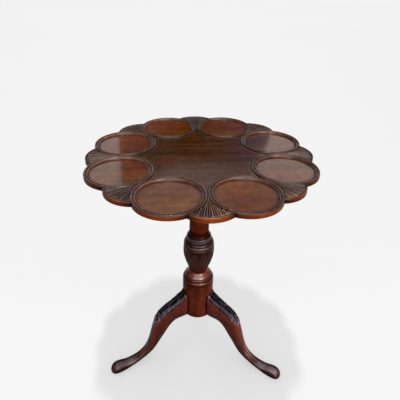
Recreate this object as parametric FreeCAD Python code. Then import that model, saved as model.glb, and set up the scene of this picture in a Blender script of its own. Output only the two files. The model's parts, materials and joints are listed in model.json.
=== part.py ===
import FreeCAD, Part
import math
import os
from FreeCAD import Vector

# Tilt-top supper table with eight plate wells. Millimetres, +Z up, origin on the floor below the column.
# The hinge runs along X under the front of the top, and the top tilts towards -Y.

# Fits
GLUE_FIT = 0.03
SCREW_FIT = 0.4
RUN_FIT = 0.08
AIR = 0.4

# Top panel
TABLE_HEIGHT = 711.0
TOP_THICKNESS = 18.0
WELL_COUNT = 8
LOBE_RADIUS = 91.0
LOBE_GAP = 0.92
WELL_DEPTH = 7.0
FIELD_DEPTH = 4.0
RIM_BEAD = 6.6
RIM_GROOVE = 2.0
RIM_LIP = 2.4
LIP_DROP = 0.7
COVE_RADIUS = 4.5
EDGE_BEVEL = 12.0
EDGE_RISE = 4.6
FAN_SHIFT = 7.0
FAN_RADIUS = 78.0
FAN_BORDER = 4.0
FAN_BORDER_DROP = 0.4

# Column: the stack of mouldings from the drum up to the shaft
DRUM_BOTTOM = 133.0
DRUM_TOP = 262.0
DRUM_RADIUS = 50.0
DRUM_CHAMFER = 1.5
QUIRK = 1.2
# Each ring: radius at its foot, radius at its crest, radius at its top, height
DRUM_RING = (48.7, 50.0, 46.6, 12.0)
SHOULDER_RING = (44.0, 44.8, 41.4, 7.5)
URN_RING = (46.0, 47.4, 45.6, 7.5)
COLLAR_RING = (38.0, 38.8, 38.0, 6.5)
SHAFT_RING = (37.4, 38.2, 36.8, 6.5)
SHOULDER_HEIGHT = 16.5
NECK_RADIUS = 28.6
NECK_HEIGHT = 6.5
URN_RADIUS = 47.6
URN_TOP_RADIUS = 46.8
URN_HEIGHT = 96.0
URN_FLARE = 1.0
OVOLO_FOOT = 45.0
OVOLO_TOP = 39.8
OVOLO_HEIGHT = 9.0
OVOLO_FULLNESS = 0.7
CAVETTO_HEIGHT = 14.0
CAVETTO_FULLNESS = 0.3
SHAFT_RADIUS = 30.6
SHAFT_TOP_RADIUS = 28.8
TENON_RADIUS = 20.0
WEDGE_DEPTH = 28.0
WEDGE_TOP = 4.0
WEDGE_POINT = 1.5
END_GAP = 0.5

# Legs: the back one lies near +Y, and the tripod is turned a little against the top
LEG_COUNT = 3
TRIPOD_TURN = -5.35
LEG_TOP = 227.0
LEG_WIDTH = 47.0
ROOT_INSET = 6.0
ROOT_RISE = 8.0
ROOT_SQUARENESS = 4.5
TAIL_DEPTH = 14.0
TAIL_ROOT = 16.0
TAIL_TIP = 22.0
TAIL_SHORT = 6.0
TAIL_LAP = 1.0
SECTION_POINTS = 16
# Stations along a leg after the first: out from the drum and up from the floor for the top edge,
# the same for the bottom edge, width, and squareness of the section (2 is an ellipse)
LEG_STATIONS = [
    (18, 208, 18, 130, 43, 4.0),
    (46, 195, 36, 127.5, 39, 3.6),
    (73, 184, 50, 118.5, 37.5, 3.2),
    (95, 167, 63, 104.5, 37.5, 3.0),
    (110, 139, 75, 87, 36, 2.8),
    (119.5, 110.5, 87.5, 69.5, 34, 2.5),
    (128.5, 78.5, 101, 51, 31.5, 2.4),
    (143, 49, 119, 30.5, 29, 2.4),
    (164, 30.5, 147, 14, 28, 2.4),
    (190.5, 21.5, 180, 3, 30, 2.5),
    (215, 21, 209, -4, 34, 2.5),
    (238, 24.5, 238, -6, 39, 2.4),
    (252, 21, 253, -5, 34, 2.3),
    (259.5, 14, 260, -2, 22, 2.2),
    (262.5, 8, 262.5, 3, 9, 2.0),
]

# Iron brace under the drum
BRACE_THICKNESS = 2.5
BRACE_RADIUS = 26.0
BRACE_ARM_WIDTH = 18.0
BRACE_REACH = 23.0
BRACE_SCREW_LENGTH = 16.0
BRACE_INNER_SCREW = 17.0
BRACE_OUTER_SCREW = 13.0

# Tilt block and pintles
BLOCK_SIDE = 170.0
BLOCK_THICKNESS = 40.0
BLOCK_GAP = 0.3
BLOCK_CHAMFER = 8.0
PIVOT_INSET = 20.0
PINTLE_RADIUS = 9.0
PINTLE_BED = 36.0

# Bearers
BEARER_WIDTH = 28.0
BEARER_DEPTH = 38.0
BEARER_LENGTH = 430.0
BEARER_END_DEPTH = 14.0
BEARER_END_LENGTH = 40.0
BEARER_SLOPE = 45.0
BEARER_SCREW_LENGTH = 21.0
BEARER_SCREW_SPACING = 26.0

# Catch
CATCH_PLATE_WIDTH = 40.0
CATCH_PLATE_THICKNESS = 2.0
CATCH_PLATE_MARGIN = 3.0
CATCH_SCREW_INSET = 5.0
CATCH_SCREW_LENGTH = 11.0
CASE_WALL = 1.5
CASE_START = 7.0
CASE_LENGTH = 48.0
BOLT_WIDTH = 16.0
BOLT_HEIGHT = 8.0
BOLT_LENGTH = 28.0
BOLT_START = 3.0
BOLT_PLAY = 0.3
BOLT_DROP = 7.0
BOLT_THROW = 12.0
BOLT_BEVEL = 4.0
STEM_RADIUS = 2.5
STEM_INSET = 8.0
KNOB_RADIUS = 7.0
KNOB_HEIGHT = 9.0
KNOB_GAP = 2.0
SPRING_RADIUS = 3.0
SPRING_WIRE = 0.45
SPRING_TURNS = 7
STRIKE_WIDTH = 44.0
STRIKE_HEIGHT = 16.0
STRIKE_THICKNESS = 1.5
STRIKE_SCREW_LENGTH = 14.0
MORTISE_PLAY = 0.6

# Wood screws: head radius, head height, shank radius
SMALL_SCREW = (2.8, 1.6, 1.4)
LARGE_SCREW = (4.2, 2.4, 2.1)

# Places that follow from the sizes above
FULL_TURN = 360.0
WELL_PITCH = FULL_TURN / WELL_COUNT
WELL_CIRCLE = (LOBE_RADIUS + LOBE_GAP / 2) / math.sin(math.radians(WELL_PITCH / 2))
FAN_CIRCLE = WELL_CIRCLE + FAN_SHIFT
UNDERSIDE = TABLE_HEIGHT - TOP_THICKNESS
FIELD_LEVEL = TABLE_HEIGHT - FIELD_DEPTH
WELL_LEVEL = TABLE_HEIGHT - WELL_DEPTH
BLOCK_TOP = UNDERSIDE - BLOCK_GAP
BLOCK_BOTTOM = BLOCK_TOP - BLOCK_THICKNESS
BLOCK_FACE = BLOCK_SIDE / 2
PIVOT_Y = PIVOT_INSET - BLOCK_FACE
PIVOT_Z = BLOCK_TOP - PIVOT_INSET
BEARER_START = BLOCK_FACE + AIR
BOLT_TOP = UNDERSIDE - CATCH_PLATE_THICKNESS - BOLT_DROP
BOLT_MIDDLE = BOLT_TOP - BOLT_HEIGHT / 2
CASE_FLOOR = BOLT_TOP - BOLT_HEIGHT - BOLT_PLAY
STEM_Y = BLOCK_FACE + BOLT_START + BOLT_LENGTH - STEM_INSET
LENGTHWAYS = Vector(1, 0, 0)
CROSSWAYS = Vector(0, 1, 0)
UPRIGHT = Vector(0, 0, 1)
ORIGIN = Vector(0, 0, 0)


def box(x_size, y_size, z_size, x, y, z):
    """A box centred on x and y that stands on z"""
    return Part.makeBox(x_size, y_size, z_size, Vector(x - x_size / 2, y - y_size / 2, z))


def turned(shape, angle):
    """A copy turned about the column's axis"""
    return shape.rotated(ORIGIN, UPRIGHT, angle)


def prism(points, direction):
    """A flat outline through the points, pushed along the direction"""
    return Part.Face(Part.makePolygon(points + points[:1])).extrude(direction)


def joined(shapes):
    """One solid from several that meet"""
    return shapes[0].multiFuse(shapes[1:]).removeSplitter()


class Turning:
    """Half the outline of a turned piece, drawn from its axis outwards and back"""

    def __init__(self, height):
        self.start = Vector(0, 0, height)
        self.at = self.start
        self.edges = []

    def line(self, radius, height):
        to = Vector(radius, 0, height)
        self.edges.append(Part.makeLine(self.at, to))
        self.at = to

    def arc(self, via_radius, via_height, radius, height):
        to = Vector(radius, 0, height)
        self.edges.append(Part.Arc(self.at, Vector(via_radius, 0, via_height), to).toShape())
        self.at = to

    def curve(self, points):
        spline = Part.BSplineCurve()
        spline.interpolate([self.at] + [Vector(radius, 0, height) for radius, height in points])
        self.edges.append(spline.toShape())
        self.at = self.edges[-1].Vertexes[-1].Point

    def ring(self, sizes):
        foot, crest, top, height = sizes
        self.line(foot, self.at.z)
        self.line(foot, self.at.z + QUIRK)
        bottom = self.at.z
        self.arc(crest, bottom + height / 2, top, bottom + height)

    def solid(self):
        self.line(0, self.at.z)
        self.edges.append(Part.makeLine(self.at, self.start))
        return Part.Face(Part.Wire(self.edges)).revolve(ORIGIN, UPRIGHT, FULL_TURN)


def screw(sizes, length):
    """A slotted countersunk screw with its head's face on z = 0 and its point up"""
    head, head_height, shank = sizes
    body = Turning(0)
    body.line(head, 0)
    body.line(shank, head_height)
    body.line(shank, length - 2 * shank)
    body.line(shank / 4, length)
    slot = box(3 * head, head / 4, head_height / 2, 0, 0, 0)
    return body.solid().cut(slot)


def screw_hole(sizes, length):
    """The room that such a screw takes up"""
    head, head_height, shank = sizes
    room = Turning(0)
    room.line(head + GLUE_FIT, 0)
    room.line(shank + SCREW_FIT, head_height)
    room.line(shank + SCREW_FIT, length + END_GAP)
    return room.solid()


def rim_outline():
    """One plate well with its moulded rim, turned about its own middle"""
    bead = RIM_BEAD / 2
    crest = LOBE_RADIUS - bead
    shoulder = TABLE_HEIGHT - bead
    groove = LOBE_RADIUS - RIM_BEAD - RIM_GROOVE
    lip = groove - RIM_LIP
    lip_base = TABLE_HEIGHT - LIP_DROP - RIM_LIP / 2
    cove = lip - COVE_RADIUS
    well = Turning(UNDERSIDE)
    well.line(LOBE_RADIUS - EDGE_BEVEL, UNDERSIDE)
    well.line(LOBE_RADIUS, UNDERSIDE + EDGE_RISE)
    well.line(LOBE_RADIUS, shoulder)
    well.arc(crest, TABLE_HEIGHT, LOBE_RADIUS - RIM_BEAD, shoulder)
    well.line(groove, shoulder)
    well.line(groove, lip_base)
    well.arc(groove - RIM_LIP / 2, TABLE_HEIGHT - LIP_DROP, lip, lip_base)
    well.line(lip, WELL_LEVEL + COVE_RADIUS)
    well.arc(cove + COVE_RADIUS * math.sqrt(0.5), WELL_LEVEL + COVE_RADIUS * (1 - math.sqrt(0.5)),
             cove, WELL_LEVEL)
    return well.solid()


def fan_outline():
    """One fan lobe with its raised border, turned about its own middle"""
    bead = FAN_BORDER / 2
    crest = TABLE_HEIGHT - FAN_BORDER_DROP
    fan = Turning(UNDERSIDE)
    fan.line(FAN_RADIUS - EDGE_BEVEL, UNDERSIDE)
    fan.line(FAN_RADIUS, UNDERSIDE + EDGE_RISE)
    fan.line(FAN_RADIUS, crest - bead)
    fan.arc(FAN_RADIUS - bead, crest, FAN_RADIUS - FAN_BORDER, crest - bead)
    fan.line(FAN_RADIUS - FAN_BORDER, FIELD_LEVEL)
    return fan.solid()


def top_panel():
    """The dished board: eight wells, eight fan lobes and the field, carved from one piece"""
    web = WELL_CIRCLE * math.cos(math.radians(WELL_PITCH / 2))
    bed_level = (UNDERSIDE + EDGE_RISE + WELL_LEVEL) / 2
    lobe = rim_outline().translate(Vector(WELL_CIRCLE, 0, 0))
    bed = Part.makeCylinder(LOBE_RADIUS - RIM_BEAD, TOP_THICKNESS, Vector(WELL_CIRCLE, 0, bed_level))
    fan = fan_outline().translate(Vector(FAN_CIRCLE, 0, 0))
    lobes = [turned(lobe, (place + 0.5) * WELL_PITCH) for place in range(WELL_COUNT)]
    beds = [turned(bed, (place + 0.5) * WELL_PITCH) for place in range(WELL_COUNT)]
    fans = [turned(fan, place * WELL_PITCH) for place in range(WELL_COUNT)]
    inside = Part.makeCylinder(web, TOP_THICKNESS, Vector(0, 0, UNDERSIDE))
    field = Part.makeCylinder(WELL_CIRCLE, FIELD_LEVEL - UNDERSIDE, Vector(0, 0, UNDERSIDE))
    ground = joined([field] + [fan.cut(inside) for fan in fans]).cut(beds)
    return joined([ground] + lobes)


def column():
    """The turned column with its tenon, the saw kerf for the wedge and the slots for the legs"""
    post = Turning(DRUM_BOTTOM)
    post.line(DRUM_RADIUS - DRUM_CHAMFER, DRUM_BOTTOM)
    post.line(DRUM_RADIUS, DRUM_BOTTOM + DRUM_CHAMFER)
    post.line(DRUM_RADIUS, DRUM_TOP)
    post.ring(DRUM_RING)
    post.ring(SHOULDER_RING)
    shoulder(post)
    post.line(NECK_RADIUS, post.at.z + NECK_HEIGHT)
    urn(post)
    post.ring(URN_RING)
    post.line(OVOLO_FOOT, post.at.z)
    narrow(post, OVOLO_TOP, OVOLO_HEIGHT, OVOLO_FULLNESS)
    post.ring(COLLAR_RING)
    post.ring(SHAFT_RING)
    narrow(post, SHAFT_RADIUS, CAVETTO_HEIGHT, CAVETTO_FULLNESS)
    post.line(SHAFT_TOP_RADIUS, BLOCK_BOTTOM)
    post.line(TENON_RADIUS, BLOCK_BOTTOM)
    post.line(TENON_RADIUS, BLOCK_TOP - END_GAP)
    kerf = wedge_shape(GLUE_FIT)
    slots = [turned(tail(GLUE_FIT), angle) for angle in leg_angles()]
    return post.solid().cut([kerf] + slots)


def narrow(post, radius, height, fullness):
    """A curve that narrows the post to a radius, hollow below a fullness of a half and round above it"""
    fall = post.at.x - radius
    post.arc(radius + fall * fullness, post.at.z + height * fullness, radius, post.at.z + height)


def shoulder(post):
    """The rounded slope from the shoulder ring up to the neck"""
    start = post.at
    top = start.z + SHOULDER_HEIGHT
    fall = start.x - NECK_RADIUS
    post.curve([
        (NECK_RADIUS + fall * 0.80, start.z + SHOULDER_HEIGHT * 0.28),
        (NECK_RADIUS + fall * 0.40, start.z + SHOULDER_HEIGHT * 0.58),
        (NECK_RADIUS, top),
    ])


def urn(post):
    """The vase that the leaves are carved on, narrow at the neck and full at its upper half"""
    start = post.at.z
    swell = URN_RADIUS - NECK_RADIUS
    post.line(NECK_RADIUS + URN_FLARE, start)
    post.curve([
        (NECK_RADIUS + swell * 0.25, start + URN_HEIGHT * 0.14),
        (NECK_RADIUS + swell * 0.60, start + URN_HEIGHT * 0.33),
        (NECK_RADIUS + swell * 0.89, start + URN_HEIGHT * 0.54),
        (URN_RADIUS, start + URN_HEIGHT * 0.78),
        (URN_TOP_RADIUS, start + URN_HEIGHT),
    ])


def wedge_shape(fit):
    """The taper driven into the tenon, or with a fit the kerf for it"""
    top = BLOCK_TOP - END_GAP
    half_top = WEDGE_TOP / 2 + fit
    half_point = WEDGE_POINT / 2 + fit
    low = top - WEDGE_DEPTH - fit
    points = [
        Vector(-TENON_RADIUS, -half_point, low),
        Vector(-TENON_RADIUS, half_point, low),
        Vector(-TENON_RADIUS, half_top, top),
        Vector(-TENON_RADIUS, -half_top, top),
    ]
    taper = prism(points, LENGTHWAYS * (2 * TENON_RADIUS))
    return taper.common(Part.makeCylinder(TENON_RADIUS, BLOCK_TOP, ORIGIN))


def leg_angles():
    """Directions of the back, left and right leg"""
    return [90 + TRIPOD_TURN + place * FULL_TURN / LEG_COUNT for place in range(LEG_COUNT)]


def tail(fit):
    """The dovetail of a leg along +X, or with a fit the slot for it, open at the drum's foot"""
    tip = DRUM_RADIUS - TAIL_DEPTH - fit
    face = DRUM_RADIUS + TAIL_LAP
    half_tip = TAIL_TIP / 2 + fit
    half_root = TAIL_ROOT / 2 + fit
    points = [
        Vector(tip, -half_tip, DRUM_BOTTOM),
        Vector(face, -half_root, DRUM_BOTTOM),
        Vector(face, half_root, DRUM_BOTTOM),
        Vector(tip, half_tip, DRUM_BOTTOM),
    ]
    return prism(points, UPRIGHT * (LEG_TOP - TAIL_SHORT - DRUM_BOTTOM + fit))


def leg_section(top, bottom, width, square):
    """A closed rounded outline across the leg, between a point on its top edge and one on its bottom edge"""
    middle = (top + bottom) * 0.5
    half_depth = (top - bottom) * 0.5
    half_width = CROSSWAYS * (width / 2)
    points = []
    for place in range(SECTION_POINTS):
        angle = math.radians(place * FULL_TURN / SECTION_POINTS)
        along = math.copysign(abs(math.cos(angle)) ** (2 / square), math.cos(angle))
        across = math.copysign(abs(math.sin(angle)) ** (2 / square), math.sin(angle))
        points.append(middle + half_depth * along + half_width * across)
    outline = Part.BSplineCurve()
    outline.interpolate(points, PeriodicFlag=True)
    return Part.Wire([outline.toShape()])


def leg():
    """A cabriole leg along +X: knee, ankle and slipper foot, scribed to the drum, with its dovetail"""
    root = DRUM_RADIUS - ROOT_INSET
    root_top = Vector(root, 0, LEG_TOP + ROOT_RISE)
    root_bottom = Vector(root, 0, DRUM_BOTTOM)
    sections = [leg_section(root_top, root_bottom, LEG_WIDTH, ROOT_SQUARENESS)]
    for top_out, top_up, low_out, low_up, width, square in LEG_STATIONS:
        top = Vector(DRUM_RADIUS + top_out, 0, top_up)
        bottom = Vector(DRUM_RADIUS + low_out, 0, low_up)
        sections.append(leg_section(top, bottom, width, square))
    limb = Part.makeLoft(sections, True, False)
    drum = Part.makeCylinder(DRUM_RADIUS + GLUE_FIT, 2 * LEG_TOP, ORIGIN)
    reach = 2 * DRUM_RADIUS + 2 * LEG_STATIONS[-1][0]
    ground = box(2 * reach, reach, LEG_WIDTH, 0, 0, -LEG_WIDTH)
    shaped = limb.cut([drum, ground])
    return joined([shaped, tail(0)]).cut(brace_arm())


def brace_arm():
    """One arm of the brace along +X, let in flush with the drum's foot"""
    length = DRUM_RADIUS + BRACE_REACH
    low = DRUM_BOTTOM - BRACE_THICKNESS
    bar = box(length, BRACE_ARM_WIDTH, BRACE_THICKNESS, length / 2, 0, low)
    end = Part.makeCylinder(BRACE_ARM_WIDTH / 2, BRACE_THICKNESS, Vector(length, 0, low))
    return bar.fuse(end)


def brace_screw_places():
    """Where the brace is screwed to the drum and to each leg, as distances along an arm"""
    return [BRACE_INNER_SCREW, DRUM_RADIUS + BRACE_OUTER_SCREW]


def brace_screws(maker):
    """A screw or a screw hole at each place along each arm of the brace"""
    made = []
    for angle in leg_angles():
        for out in brace_screw_places():
            place = maker(SMALL_SCREW, BRACE_SCREW_LENGTH)
            place.translate(Vector(out, 0, DRUM_BOTTOM - BRACE_THICKNESS))
            made.append(turned(place, angle))
    return made


def leg_brace():
    """The three-armed iron plate that ties the legs to the drum"""
    hub = Part.makeCylinder(BRACE_RADIUS, BRACE_THICKNESS, Vector(0, 0, DRUM_BOTTOM - BRACE_THICKNESS))
    return joined([hub] + [turned(brace_arm(), angle) for angle in leg_angles()])


def tilt_block():
    """The square block on the tenon, rounded about the hinge along its front top edge"""
    face = BLOCK_FACE
    low = BLOCK_BOTTOM
    bend = PIVOT_INSET * math.sqrt(0.5)
    corners = [
        Vector(-face, PIVOT_Y, BLOCK_TOP),
        Vector(-face, face, BLOCK_TOP),
        Vector(-face, face, low + BLOCK_CHAMFER),
        Vector(-face, face - BLOCK_CHAMFER, low),
        Vector(-face, BLOCK_CHAMFER - face, low),
        Vector(-face, -face, low + BLOCK_CHAMFER),
        Vector(-face, -face, PIVOT_Z),
    ]
    round_edge = Part.Arc(corners[-1], Vector(-face, PIVOT_Y - bend, PIVOT_Z + bend), corners[0])
    outline = Part.Wire([Part.makePolygon(corners), round_edge.toShape()])
    blank = Part.Face(outline).extrude(LENGTHWAYS * BLOCK_SIDE)
    bore = Part.makeCylinder(TENON_RADIUS + GLUE_FIT, BLOCK_THICKNESS, Vector(0, 0, low))
    beds = [pintle(side, GLUE_FIT) for side in (-1, 1)]
    deep = STRIKE_THICKNESS + BOLT_THROW
    mortise = box(BOLT_WIDTH + 2 * MORTISE_PLAY, deep, BOLT_HEIGHT + 2 * MORTISE_PLAY,
                  0, face - deep / 2, BOLT_MIDDLE - BOLT_HEIGHT / 2 - MORTISE_PLAY)
    return blank.cut([bore, mortise, strike_blank(GLUE_FIT)] + beds + strike_screws(screw_hole))


def pintle(side, fit):
    """A hinge pin in one side of the block, -1 left and 1 right, or with a fit the hole for it"""
    inner = BLOCK_FACE - PINTLE_BED - fit
    outer = BEARER_START + BEARER_WIDTH
    return Part.makeCylinder(PINTLE_RADIUS + fit, outer - inner, Vector(side * inner, PIVOT_Y, PIVOT_Z),
                             LENGTHWAYS * side)


def bearer(side):
    """One of the two battens under the top that turn on the pintles"""
    half = BEARER_LENGTH / 2
    low = UNDERSIDE - BEARER_DEPTH
    end = UNDERSIDE - BEARER_END_DEPTH
    inner = BEARER_START if side > 0 else -BEARER_START - BEARER_WIDTH
    outline = [(half, UNDERSIDE), (half, end), (half - BEARER_END_LENGTH, end),
               (half - BEARER_END_LENGTH - BEARER_SLOPE, low)]
    mirrored = [(-y, z) for y, z in reversed(outline)]
    points = [Vector(inner, y, z) for y, z in outline + mirrored]
    batten = prism(points, LENGTHWAYS * BEARER_WIDTH)
    return batten.cut([pintle(side, RUN_FIT)] + bearer_screws(screw_hole))


def bearer_screws(maker):
    """Two screws or screw holes in each thin end of both bearers"""
    made = []
    across = BEARER_START + BEARER_WIDTH / 2
    middle = (BEARER_LENGTH - BEARER_END_LENGTH) / 2
    for x in (-across, across):
        for end in (-middle, middle):
            for shift in (-BEARER_SCREW_SPACING / 2, BEARER_SCREW_SPACING / 2):
                place = maker(LARGE_SCREW, BEARER_SCREW_LENGTH)
                place.translate(Vector(x, end + shift, UNDERSIDE - BEARER_END_DEPTH))
                made.append(place)
    return made


def catch_plate():
    """The brass plate of the catch against the underside of the top"""
    start = BLOCK_FACE + CATCH_PLATE_MARGIN
    length = CASE_START + CASE_LENGTH
    plate = box(CATCH_PLATE_WIDTH, length, CATCH_PLATE_THICKNESS, 0, start + length / 2,
                UNDERSIDE - CATCH_PLATE_THICKNESS)
    return plate.cut(catch_screws(screw_hole))


def catch_screws(maker):
    """A screw or a screw hole near each corner of the catch plate"""
    start = BLOCK_FACE + CATCH_PLATE_MARGIN + CATCH_SCREW_INSET
    end = BLOCK_FACE + CATCH_PLATE_MARGIN + CASE_START + CASE_LENGTH - CATCH_SCREW_INSET
    across = CATCH_PLATE_WIDTH / 2 - CATCH_SCREW_INSET
    made = []
    for x in (-across, across):
        for y in (start, end):
            place = maker(SMALL_SCREW, CATCH_SCREW_LENGTH)
            place.translate(Vector(x, y, UNDERSIDE - CATCH_PLATE_THICKNESS))
            made.append(place)
    return made


def catch_case():
    """The cast brass case that guides the bolt, closed at the back, with a slot for the knob's stem"""
    roof = UNDERSIDE - CATCH_PLATE_THICKNESS
    start = BLOCK_FACE + CASE_START
    inner_width = BOLT_WIDTH + 2 * BOLT_PLAY
    width = inner_width + 2 * CASE_WALL
    shell = box(width, CASE_LENGTH, roof - CASE_FLOOR + CASE_WALL, 0, start + CASE_LENGTH / 2,
                CASE_FLOOR - CASE_WALL)
    deep = CASE_LENGTH - CASE_WALL
    room = box(inner_width, deep, BOLT_HEIGHT + 2 * BOLT_PLAY, 0, start + deep / 2, CASE_FLOOR)
    slot_radius = STEM_RADIUS + BOLT_PLAY
    low = CASE_FLOOR - CASE_WALL
    slot = box(2 * slot_radius, BOLT_THROW, CASE_WALL, 0, STEM_Y - BOLT_THROW / 2, low)
    slot_ends = [Part.makeCylinder(slot_radius, CASE_WALL, Vector(0, y, low))
                 for y in (STEM_Y, STEM_Y - BOLT_THROW)]
    return shell.cut([room, slot] + slot_ends)


def catch_bolt():
    """The sliding bolt, bevelled above its tip, drawn back clear of the block"""
    start = BLOCK_FACE + BOLT_START
    low = BOLT_TOP - BOLT_HEIGHT
    half = BOLT_WIDTH / 2
    points = [
        Vector(-half, start, BOLT_TOP),
        Vector(-half, start + BOLT_LENGTH, BOLT_TOP),
        Vector(-half, start + BOLT_LENGTH, low),
        Vector(-half, start + BOLT_BEVEL, low),
        Vector(-half, start, low + BOLT_BEVEL),
    ]
    socket = Part.makeCylinder(STEM_RADIUS + GLUE_FIT, BOLT_HEIGHT / 2, Vector(0, STEM_Y, low))
    return prism(points, LENGTHWAYS * BOLT_WIDTH).cut(socket)


def catch_knob():
    """The turned thumb knob on the bolt"""
    grip = CASE_FLOOR - CASE_WALL - KNOB_GAP
    low = grip - KNOB_HEIGHT
    knob = Turning(low)
    knob.line(KNOB_RADIUS * 0.6, low)
    knob.arc(KNOB_RADIUS, low + KNOB_HEIGHT * 0.45, KNOB_RADIUS * 0.5, grip)
    knob.line(STEM_RADIUS, grip)
    knob.line(STEM_RADIUS, BOLT_MIDDLE - END_GAP)
    return knob.solid().translate(Vector(0, STEM_Y, 0))


def catch_spring():
    """The coil spring that pushes the bolt towards the block"""
    start = BLOCK_FACE + BOLT_START + BOLT_LENGTH + SPRING_WIRE
    end = BLOCK_FACE + CASE_START + CASE_LENGTH - CASE_WALL - SPRING_WIRE
    pitch = (end - start) / SPRING_TURNS
    path = Part.makeHelix(pitch, end - start, SPRING_RADIUS)
    wire = Part.Wire([Part.makeCircle(SPRING_WIRE, Vector(SPRING_RADIUS, 0, 0), CROSSWAYS)])
    coil = Part.Wire(path.Edges).makePipeShell([wire], True, True)
    coil.rotate(ORIGIN, LENGTHWAYS, -90)
    return coil.translate(Vector(0, start, BOLT_MIDDLE))


def strike_blank(fit):
    """The outline of the strike plate, or with a fit the recess for it"""
    return box(STRIKE_WIDTH + 2 * fit, STRIKE_THICKNESS + fit, STRIKE_HEIGHT + 2 * fit, 0,
               BLOCK_FACE - (STRIKE_THICKNESS + fit) / 2, BOLT_MIDDLE - STRIKE_HEIGHT / 2 - fit)


def strike_plate():
    """The brass plate let into the block's back, with the mouth for the bolt"""
    mouth = box(BOLT_WIDTH + 2 * MORTISE_PLAY, 3 * STRIKE_THICKNESS, BOLT_HEIGHT + 2 * MORTISE_PLAY, 0,
                BLOCK_FACE, BOLT_MIDDLE - BOLT_HEIGHT / 2 - MORTISE_PLAY)
    return strike_blank(0).cut([mouth] + strike_screws(screw_hole))


def strike_screws(maker):
    """A screw or a screw hole on each side of the strike's mouth"""
    across = (STRIKE_WIDTH + BOLT_WIDTH) / 4 + MORTISE_PLAY / 2
    made = []
    for x in (-across, across):
        place = maker(SMALL_SCREW, STRIKE_SCREW_LENGTH)
        place.rotate(ORIGIN, LENGTHWAYS, 90)
        place.translate(Vector(x, BLOCK_FACE, BOLT_MIDDLE))
        made.append(place)
    return made


def assembly():
    """Every piece of the table by its name"""
    back, left, right = [turned(leg(), angle) for angle in leg_angles()]
    leg_holes = brace_screws(screw_hole)
    return {
        "top_panel": top_panel().cut(bearer_screws(screw_hole) + catch_screws(screw_hole)),
        "bearer_left": bearer(-1),
        "bearer_right": bearer(1),
        "bearer_screws": Part.makeCompound(bearer_screws(screw)),
        "catch_plate": catch_plate(),
        "catch_case": catch_case(),
        "catch_spring": catch_spring(),
        "catch_screws": Part.makeCompound(catch_screws(screw)),
        "catch_bolt": catch_bolt(),
        "catch_knob": catch_knob(),
        "tilt_block": tilt_block(),
        "pintle_left": pintle(-1, 0),
        "pintle_right": pintle(1, 0),
        "tenon_wedge": wedge_shape(0),
        "strike_plate": strike_plate(),
        "strike_screws": Part.makeCompound(strike_screws(screw)),
        "column": column().cut(leg_holes),
        "leg_back": back.cut(leg_holes),
        "leg_left": left.cut(leg_holes),
        "leg_right": right.cut(leg_holes),
        "leg_brace": leg_brace().cut(leg_holes),
        "leg_brace_screws": Part.makeCompound(brace_screws(screw)),
    }


os.makedirs("parts", exist_ok=True)
for name, shape in assembly().items():
    shape.exportStep("parts/" + name + ".step")
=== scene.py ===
import json
import math
import bpy
import numpy as np
from mathutils import Matrix, Vector
from mathutils.bvhtree import BVHTree


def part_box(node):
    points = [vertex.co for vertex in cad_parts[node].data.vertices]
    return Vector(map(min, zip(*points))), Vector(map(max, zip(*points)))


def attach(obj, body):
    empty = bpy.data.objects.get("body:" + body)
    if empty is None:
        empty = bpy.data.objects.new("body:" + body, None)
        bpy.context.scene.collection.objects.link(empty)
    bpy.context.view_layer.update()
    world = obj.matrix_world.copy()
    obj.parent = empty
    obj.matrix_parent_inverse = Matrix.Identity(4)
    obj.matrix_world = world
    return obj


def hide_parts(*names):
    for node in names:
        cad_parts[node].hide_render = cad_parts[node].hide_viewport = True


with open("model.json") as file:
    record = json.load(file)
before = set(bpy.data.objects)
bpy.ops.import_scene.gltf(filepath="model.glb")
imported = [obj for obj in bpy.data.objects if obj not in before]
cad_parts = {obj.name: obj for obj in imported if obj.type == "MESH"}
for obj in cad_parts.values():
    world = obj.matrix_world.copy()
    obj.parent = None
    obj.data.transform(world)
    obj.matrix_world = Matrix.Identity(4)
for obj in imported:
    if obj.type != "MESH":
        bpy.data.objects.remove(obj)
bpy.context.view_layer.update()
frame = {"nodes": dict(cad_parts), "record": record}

nodes = frame["nodes"]
places = {mount["name"]: Vector(mount["pos_m"]) for mount in frame["record"]["mounts"]}
board_low, board_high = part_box("top_panel")


def direction(place):
    """The direction of a place from the column's axis, in degrees"""
    return round(math.degrees(math.atan2(place.y, place.x)) % 360, 2)


# Top: wells, reach, levels and the depths below its highest one, in metres
WELLS = sum(name.startswith("plate_well") for name in places)
PITCH = math.tau / WELLS
WELL_CIRCLE = round(places["plate_well_1"].xy.length, 4)
LOBE_RADIUS = 0.091
TOP_REACH = round(board_high.x, 4)
TOP_LEVEL = round(board_high.z, 4)
UNDERSIDE = round(board_low.z, 4)
WELL_DEPTH = 0.007
FIELD_DEPTH = 0.004
EDGE_DEPTH = 0.0025
WELL_FLOOR = TOP_LEVEL - WELL_DEPTH
FIELD = TOP_LEVEL - FIELD_DEPTH
EDGE_TOP = TOP_LEVEL - EDGE_DEPTH

# Zones of the board: how near a face lies to its level or rim, and how far it turns up, down or out
UNDERSIDE_NEAR = 0.0002
LEVEL_NEAR = 0.0005
RIM_NEAR = 0.0015
LEVEL_UP = 0.99
STEEP_UP = 0.5
UNDER_UP = -0.05
EDGE_OUT = 0.1

# Fans: radius, raised edge, circle of their middles, inner point, half the spread, flutes and relief
FAN_RADIUS = 0.078
FAN_EDGE = 0.0045
FAN_FIELD = FAN_RADIUS - FAN_EDGE
FAN_CIRCLE = TOP_REACH - FAN_RADIUS
FAN_POINT = WELL_CIRCLE * math.cos(PITCH / 2)
FAN_HALF = math.radians(30.6)
FAN_FLUTES = 15
FAN_LIFT = 0.0004
FAN_RELIEF = 0.0026
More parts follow.
